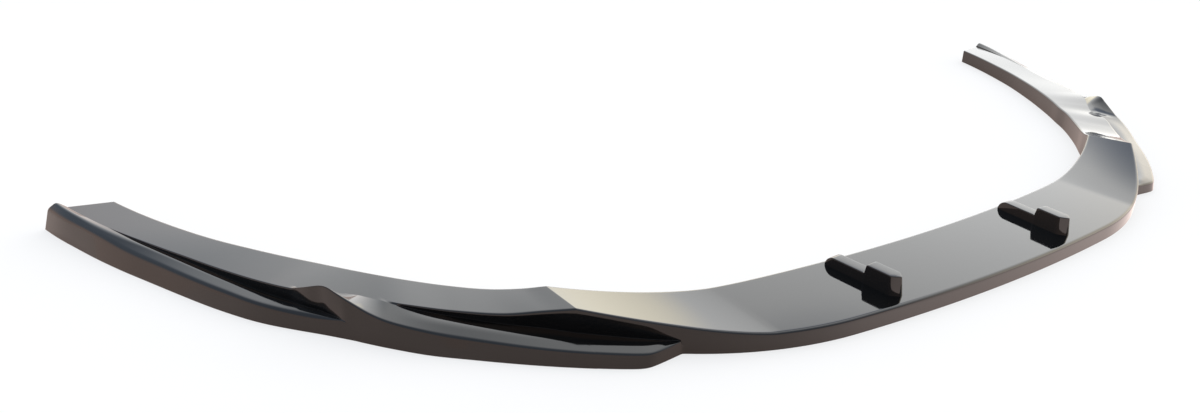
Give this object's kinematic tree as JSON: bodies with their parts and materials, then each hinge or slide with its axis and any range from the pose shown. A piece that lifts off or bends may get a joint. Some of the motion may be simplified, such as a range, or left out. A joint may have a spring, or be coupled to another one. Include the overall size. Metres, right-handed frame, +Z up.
{
  "type": "front splitter lip",
  "caption": "Gloss black moulded front splitter lip: a curved channel-section blade with swept arms, side winglets, raised shelves and upright fins, open underneath.",
  "frame": {"origin": "centre of the box on the ground plane, under the bay between the two arms", "axes": "+Z up, +X across the car, front edge towards -Y and the arms' rear ends towards +Y"},
  "size_m": [1.7566, 0.6842, 0.0447],
  "materials": {
    "gloss_black": "high gloss black moulded plastic"
  },
  "bodies": {
    "root": {"splitter_lip": "gloss_black"}
  },
  "joints": []
}
